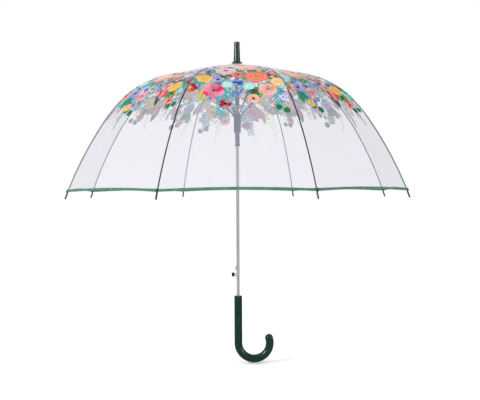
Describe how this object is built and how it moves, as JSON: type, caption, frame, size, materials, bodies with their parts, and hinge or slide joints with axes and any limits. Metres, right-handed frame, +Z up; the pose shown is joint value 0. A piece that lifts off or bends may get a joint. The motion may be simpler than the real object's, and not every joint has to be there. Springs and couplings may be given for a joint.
{
  "type": "clear dome umbrella",
  "caption": "Clear dome umbrella with printed film, hooked handle, sliding runner, release button and a spring-opened frame that folds to the shaft.",
  "frame": {"origin": "on the shaft's axis at the middle of the handle's straight grip", "axes": "+Z up along the shaft towards the ferrule, +X the way the hook's open end points, so the release button is on the -X side"},
  "size_m": [0.837, 0.837, 0.842],
  "materials": {
    "rib_rod": "satin dark blue-grey fibreglass",
    "green_tip": "gloss",
    "linkage_steel": "satin slate-blue paint",
    "shaft_steel": "satin plated",
    "green_handle": "high gloss",
    "bare_steel": "satin",
    "green_ferrule": "high gloss",
    "film": "clear gloss film",
    "slate_plastic": "satin",
    "green_hem": "woven tape",
    "spring_steel": "bright",
    "catch_steel": "satin",
    "button_stem": "matt",
    "black_cap": "gloss"
  },
  "bodies": {
    "frame": {"shaft_tube": "shaft_steel", "handle_crook": "green_handle", "shaft_rivet": "bare_steel", "ferrule": "green_ferrule", "top_skirt": "green_ferrule", "film_collar": "film", "crown_notch": "slate_plastic", "crown_wire": "bare_steel", "canopy": "film", "hem_binding": "green_hem"},
    "runner": {"runner": "slate_plastic", "runner_wire": "bare_steel", "main_spring": "spring_steel"},
    "slider": {"spring_slider": "slate_plastic", "slider_wire": "bare_steel"},
    "catch": {"catch_leaf": "spring_steel", "catch_wedge": "catch_steel"},
    "button": {"release_button": "button_stem", "button_cap": "black_cap"},
    "rib_inner_1": {"rib_inner_1": "rib_rod"},
    "rib_outer_1": {"rib_outer_1": "rib_rod", "tip_1": "green_tip"},
    "stretcher_1": {"stretcher_1": "linkage_steel"},
    "strut_1": {"strut_1": "linkage_steel"},
    "rib_inner_2": {"rib_inner_2": "rib_rod"},
    "rib_outer_2": {"rib_outer_2": "rib_rod", "tip_2": "green_tip"},
    "stretcher_2": {"stretcher_2": "linkage_steel"},
    "strut_2": {"strut_2": "linkage_steel"},
    "rib_inner_3": {"rib_inner_3": "rib_rod"},
    "rib_outer_3": {"rib_outer_3": "rib_rod", "tip_3": "green_tip"},
    "stretcher_3": {"stretcher_3": "linkage_steel"},
    "strut_3": {"strut_3": "linkage_steel"},
    "rib_inner_4": {"rib_inner_4": "rib_rod"},
    "rib_outer_4": {"rib_outer_4": "rib_rod", "tip_4": "green_tip"},
    "stretcher_4": {"stretcher_4": "linkage_steel"},
    "strut_4": {"strut_4": "linkage_steel"},
    "rib_inner_5": {"rib_inner_5": "rib_rod"},
    "rib_outer_5": {"rib_outer_5": "rib_rod", "tip_5": "green_tip"},
    "stretcher_5": {"stretcher_5": "linkage_steel"},
    "strut_5": {"strut_5": "linkage_steel"},
    "rib_inner_6": {"rib_inner_6": "rib_rod"},
    "rib_outer_6": {"rib_outer_6": "rib_rod", "tip_6": "green_tip"},
    "stretcher_6": {"stretcher_6": "linkage_steel"},
    "strut_6": {"strut_6": "linkage_steel"},
    "rib_inner_7": {"rib_inner_7": "rib_rod"},
    "rib_outer_7": {"rib_outer_7": "rib_rod", "tip_7": "green_tip"},
    "stretcher_7": {"stretcher_7": "linkage_steel"},
    "strut_7": {"strut_7": "linkage_steel"},
    "rib_inner_8": {"rib_inner_8": "rib_rod"},
    "rib_outer_8": {"rib_outer_8": "rib_rod", "tip_8": "green_tip"},
    "stretcher_8": {"stretcher_8": "linkage_steel"},
    "strut_8": {"strut_8": "linkage_steel"}
  },
  "joints": [
    {"name": "runner_slide", "type": "slide", "parent": "frame", "child": "runner", "axis": [0, 0, -1], "range_m": [0, 0.32845], "stiffness_N_per_m": 60, "springref_m": -0.1, "deforming": ["main_spring", "canopy", "hem_binding"]},
    {"name": "slider_slide", "type": "slide", "parent": "frame", "child": "slider", "axis": [0, 0, -1], "range_m": [0, 0.36197]},
    {"name": "button_press", "type": "slide", "parent": "frame", "child": "button", "axis": [1, 0, 0], "range_m": [0, 0.0045], "stiffness_N_per_m": 800, "springref_m": -0.001},
    {"name": "catch_retract", "type": "slide", "parent": "frame", "child": "catch", "axis": [1, 0, 0], "range_m": [0, 0.0045]},
    {"name": "rib_fold_1", "type": "hinge", "parent": "frame", "child": "rib_inner_1", "pos_m": [0.00739, 0.00306, 0.659], "axis": [-0.3827, 0.9239, 0], "range_deg": [0, 74.52]},
    {"name": "rib_flex_1", "type": "hinge", "parent": "rib_inner_1", "child": "rib_outer_1", "pos_m": [0.20214, 0.08373, 0.62549], "axis": [-0.3827, 0.9239, 0], "range_deg": [-35.32, 0]},
    {"name": "stretcher_swing_1", "type": "hinge", "parent": "slider", "child": "stretcher_1", "pos_m": [0.00684, 0.00283, 0.597], "axis": [-0.3827, 0.9239, 0], "range_deg": [-75.71, 0]},
    {"name": "strut_swing_1", "type": "hinge", "parent": "runner", "child": "strut_1", "pos_m": [0.00739, 0.00306, 0.537], "axis": [-0.3827, 0.9239, 0], "range_deg": [-42.54, 0]},
    {"name": "rib_fold_2", "type": "hinge", "parent": "frame", "child": "rib_inner_2", "pos_m": [0.00306, 0.00739, 0.659], "axis": [-0.9239, 0.3827, 0], "range_deg": [0, 74.52]},
    {"name": "rib_flex_2", "type": "hinge", "parent": "rib_inner_2", "child": "rib_outer_2", "pos_m": [0.08373, 0.20214, 0.62549], "axis": [-0.9239, 0.3827, 0], "range_deg": [-35.32, 0]},
    {"name": "stretcher_swing_2", "type": "hinge", "parent": "slider", "child": "stretcher_2", "pos_m": [0.00283, 0.00684, 0.597], "axis": [-0.9239, 0.3827, 0], "range_deg": [-75.71, 0]},
    {"name": "strut_swing_2", "type": "hinge", "parent": "runner", "child": "strut_2", "pos_m": [0.00306, 0.00739, 0.537], "axis": [-0.9239, 0.3827, 0], "range_deg": [-42.54, 0]},
    {"name": "rib_fold_3", "type": "hinge", "parent": "frame", "child": "rib_inner_3", "pos_m": [-0.00306, 0.00739, 0.659], "axis": [-0.9239, -0.3827, 0], "range_deg": [0, 74.52]},
    {"name": "rib_flex_3", "type": "hinge", "parent": "rib_inner_3", "child": "rib_outer_3", "pos_m": [-0.08373, 0.20214, 0.62549], "axis": [-0.9239, -0.3827, 0], "range_deg": [-35.32, 0]},
    {"name": "stretcher_swing_3", "type": "hinge", "parent": "slider", "child": "stretcher_3", "pos_m": [-0.00283, 0.00684, 0.597], "axis": [-0.9239, -0.3827, 0], "range_deg": [-75.71, 0]},
    {"name": "strut_swing_3", "type": "hinge", "parent": "runner", "child": "strut_3", "pos_m": [-0.00306, 0.00739, 0.537], "axis": [-0.9239, -0.3827, 0], "range_deg": [-42.54, 0]},
    {"name": "rib_fold_4", "type": "hinge", "parent": "frame", "child": "rib_inner_4", "pos_m": [-0.00739, 0.00306, 0.659], "axis": [-0.3827, -0.9239, 0], "range_deg": [0, 74.52]},
    {"name": "rib_flex_4", "type": "hinge", "parent": "rib_inner_4", "child": "rib_outer_4", "pos_m": [-0.20214, 0.08373, 0.62549], "axis": [-0.3827, -0.9239, 0], "range_deg": [-35.32, 0]},
    {"name": "stretcher_swing_4", "type": "hinge", "parent": "slider", "child": "stretcher_4", "pos_m": [-0.00684, 0.00283, 0.597], "axis": [-0.3827, -0.9239, 0], "range_deg": [-75.71, 0]},
    {"name": "strut_swing_4", "type": "hinge", "parent": "runner", "child": "strut_4", "pos_m": [-0.00739, 0.00306, 0.537], "axis": [-0.3827, -0.9239, 0], "range_deg": [-42.54, 0]},
    {"name": "rib_fold_5", "type": "hinge", "parent": "frame", "child": "rib_inner_5", "pos_m": [-0.00739, -0.00306, 0.659], "axis": [0.3827, -0.9239, 0], "range_deg": [0, 74.52]},
    {"name": "rib_flex_5", "type": "hinge", "parent": "rib_inner_5", "child": "rib_outer_5", "pos_m": [-0.20214, -0.08373, 0.62549], "axis": [0.3827, -0.9239, 0], "range_deg": [-35.32, 0]},
    {"name": "stretcher_swing_5", "type": "hinge", "parent": "slider", "child": "stretcher_5", "pos_m": [-0.00684, -0.00283, 0.597], "axis": [0.3827, -0.9239, 0], "range_deg": [-75.71, 0]},
    {"name": "strut_swing_5", "type": "hinge", "parent": "runner", "child": "strut_5", "pos_m": [-0.00739, -0.00306, 0.537], "axis": [0.3827, -0.9239, 0], "range_deg": [-42.54, 0]},
    {"name": "rib_fold_6", "type": "hinge", "parent": "frame", "child": "rib_inner_6", "pos_m": [-0.00306, -0.00739, 0.659], "axis": [0.9239, -0.3827, 0], "range_deg": [0, 74.52]},
    {"name": "rib_flex_6", "type": "hinge", "parent": "rib_inner_6", "child": "rib_outer_6", "pos_m": [-0.08373, -0.20214, 0.62549], "axis": [0.9239, -0.3827, 0], "range_deg": [-35.32, 0]},
    {"name": "stretcher_swing_6", "type": "hinge", "parent": "slider", "child": "stretcher_6", "pos_m": [-0.00283, -0.00684, 0.597], "axis": [0.9239, -0.3827, 0], "range_deg": [-75.71, 0]},
    {"name": "strut_swing_6", "type": "hinge", "parent": "runner", "child": "strut_6", "pos_m": [-0.00306, -0.00739, 0.537], "axis": [0.9239, -0.3827, 0], "range_deg": [-42.54, 0]},
    {"name": "rib_fold_7", "type": "hinge", "parent": "frame", "child": "rib_inner_7", "pos_m": [0.00306, -0.00739, 0.659], "axis": [0.9239, 0.3827, 0], "range_deg": [0, 74.52]},
    {"name": "rib_flex_7", "type": "hinge", "parent": "rib_inner_7", "child": "rib_outer_7", "pos_m": [0.08373, -0.20214, 0.62549], "axis": [0.9239, 0.3827, 0], "range_deg": [-35.32, 0]},
    {"name": "stretcher_swing_7", "type": "hinge", "parent": "slider", "child": "stretcher_7", "pos_m": [0.00283, -0.00684, 0.597], "axis": [0.9239, 0.3827, 0], "range_deg": [-75.71, 0]},
    {"name": "strut_swing_7", "type": "hinge", "parent": "runner", "child": "strut_7", "pos_m": [0.00306, -0.00739, 0.537], "axis": [0.9239, 0.3827, 0], "range_deg": [-42.54, 0]},
    {"name": "rib_fold_8", "type": "hinge", "parent": "frame", "child": "rib_inner_8", "pos_m": [0.00739, -0.00306, 0.659], "axis": [0.3827, 0.9239, 0], "range_deg": [0, 74.52]},
    {"name": "rib_flex_8", "type": "hinge", "parent": "rib_inner_8", "child": "rib_outer_8", "pos_m": [0.20214, -0.08373, 0.62549], "axis": [0.3827, 0.9239, 0], "range_deg": [-35.32, 0]},
    {"name": "stretcher_swing_8", "type": "hinge", "parent": "slider", "child": "stretcher_8", "pos_m": [0.00684, -0.00283, 0.597], "axis": [0.3827, 0.9239, 0], "range_deg": [-75.71, 0]},
    {"name": "strut_swing_8", "type": "hinge", "parent": "runner", "child": "strut_8", "pos_m": [0.00739, -0.00306, 0.537], "axis": [0.3827, 0.9239, 0], "range_deg": [-42.54, 0]}
  ],
  "couplings": [
    {"joint": "slider_slide", "follows": "runner_slide", "ratio": 1.1021},
    {"joint": "catch_retract", "follows": "button_press", "ratio": 1},
    {"joint": "rib_fold_1", "follows": "runner_slide", "rad_per_m": 3.9593},
    {"joint": "rib_flex_1", "follows": "runner_slide", "rad_per_m": -1.8763},
    {"joint": "stretcher_swing_1", "follows": "runner_slide", "rad_per_m": -4.0226},
    {"joint": "strut_swing_1", "follows": "runner_slide", "rad_per_m": -2.26},
    {"joint": "rib_fold_2", "follows": "runner_slide", "rad_per_m": 3.9593},
    {"joint": "rib_flex_2", "follows": "runner_slide", "rad_per_m": -1.8763},
    {"joint": "stretcher_swing_2", "follows": "runner_slide", "rad_per_m": -4.0226},
    {"joint": "strut_swing_2", "follows": "runner_slide", "rad_per_m": -2.26},
    {"joint": "rib_fold_3", "follows": "runner_slide", "rad_per_m": 3.9593},
    {"joint": "rib_flex_3", "follows": "runner_slide", "rad_per_m": -1.8763},
    {"joint": "stretcher_swing_3", "follows": "runner_slide", "rad_per_m": -4.0226},
    {"joint": "strut_swing_3", "follows": "runner_slide", "rad_per_m": -2.26},
    {"joint": "rib_fold_4", "follows": "runner_slide", "rad_per_m": 3.9593},
    {"joint": "rib_flex_4", "follows": "runner_slide", "rad_per_m": -1.8763},
    {"joint": "stretcher_swing_4", "follows": "runner_slide", "rad_per_m": -4.0226},
    {"joint": "strut_swing_4", "follows": "runner_slide", "rad_per_m": -2.26},
    {"joint": "rib_fold_5", "follows": "runner_slide", "rad_per_m": 3.9593},
    {"joint": "rib_flex_5", "follows": "runner_slide", "rad_per_m": -1.8763},
    {"joint": "stretcher_swing_5", "follows": "runner_slide", "rad_per_m": -4.0226},
    {"joint": "strut_swing_5", "follows": "runner_slide", "rad_per_m": -2.26},
    {"joint": "rib_fold_6", "follows": "runner_slide", "rad_per_m": 3.9593},
    {"joint": "rib_flex_6", "follows": "runner_slide", "rad_per_m": -1.8763},
    {"joint": "stretcher_swing_6", "follows": "runner_slide", "rad_per_m": -4.0226},
    {"joint": "strut_swing_6", "follows": "runner_slide", "rad_per_m": -2.26},
    {"joint": "rib_fold_7", "follows": "runner_slide", "rad_per_m": 3.9593},
    {"joint": "rib_flex_7", "follows": "runner_slide", "rad_per_m": -1.8763},
    {"joint": "stretcher_swing_7", "follows": "runner_slide", "rad_per_m": -4.0226},
    {"joint": "strut_swing_7", "follows": "runner_slide", "rad_per_m": -2.26},
    {"joint": "rib_fold_8", "follows": "runner_slide", "rad_per_m": 3.9593},
    {"joint": "rib_flex_8", "follows": "runner_slide", "rad_per_m": -1.8763},
    {"joint": "stretcher_swing_8", "follows": "runner_slide", "rad_per_m": -4.0226},
    {"joint": "strut_swing_8", "follows": "runner_slide", "rad_per_m": -2.26}
  ]
}
